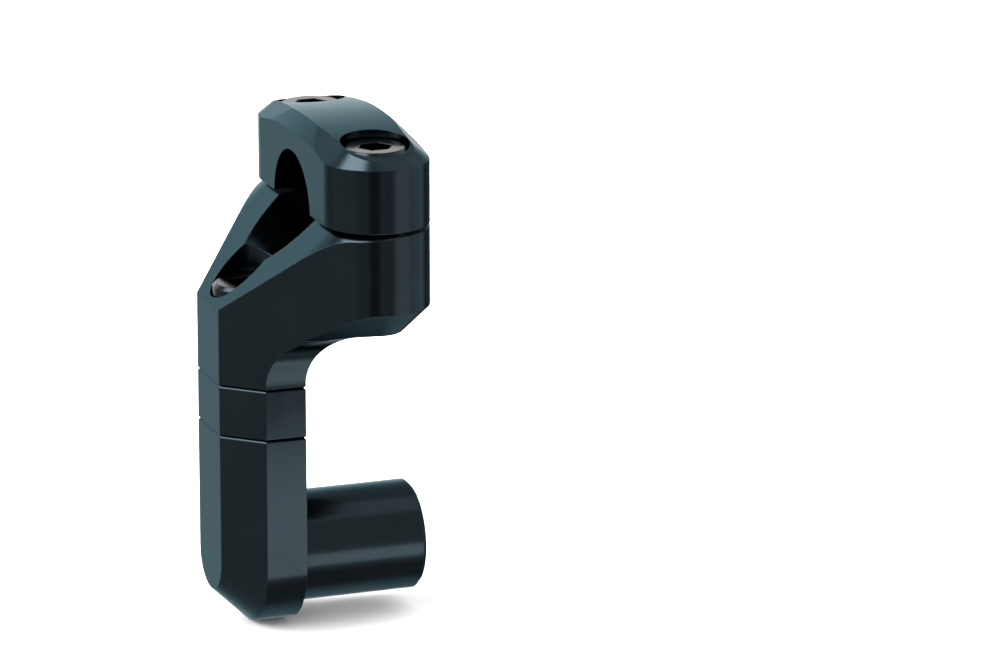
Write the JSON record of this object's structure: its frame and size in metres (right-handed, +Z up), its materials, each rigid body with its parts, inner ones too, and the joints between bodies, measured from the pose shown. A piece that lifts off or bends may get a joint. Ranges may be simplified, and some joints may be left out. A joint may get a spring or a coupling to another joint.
{
  "type": "motorcycle bar riser",
  "caption": "Motorcycle bar riser: a round stub on a lower arm, a spacer block, and an upper bracket with a screwed cap that clamps the handlebar.",
  "frame": {"origin": "on the stub's axis, in the plane of the arm's inner face, where the stub leaves the arm", "axes": "+X along the stub towards its free end, and so along the handlebar, +Y to the rear, +Z up towards the bar clamp"},
  "size_m": [0.0422, 0.0606, 0.1027],
  "materials": {
    "black_anodised": "black anodised, satin",
    "black_steel": "black oxide screws",
    "pin_steel": "ground steel dowels"
  },
  "bodies": {
    "root": {"stub_arm": "black_anodised", "spacer": "black_anodised", "upper_bracket": "black_anodised", "clamp_cap": "black_anodised", "cap_screw_front": "black_steel", "cap_screw_rear": "black_steel", "neck_screw": "black_steel", "lower_dowel_front": "pin_steel", "lower_dowel_rear": "pin_steel", "upper_dowel_front": "pin_steel", "upper_dowel_rear": "pin_steel"}
  },
  "joints": []
}
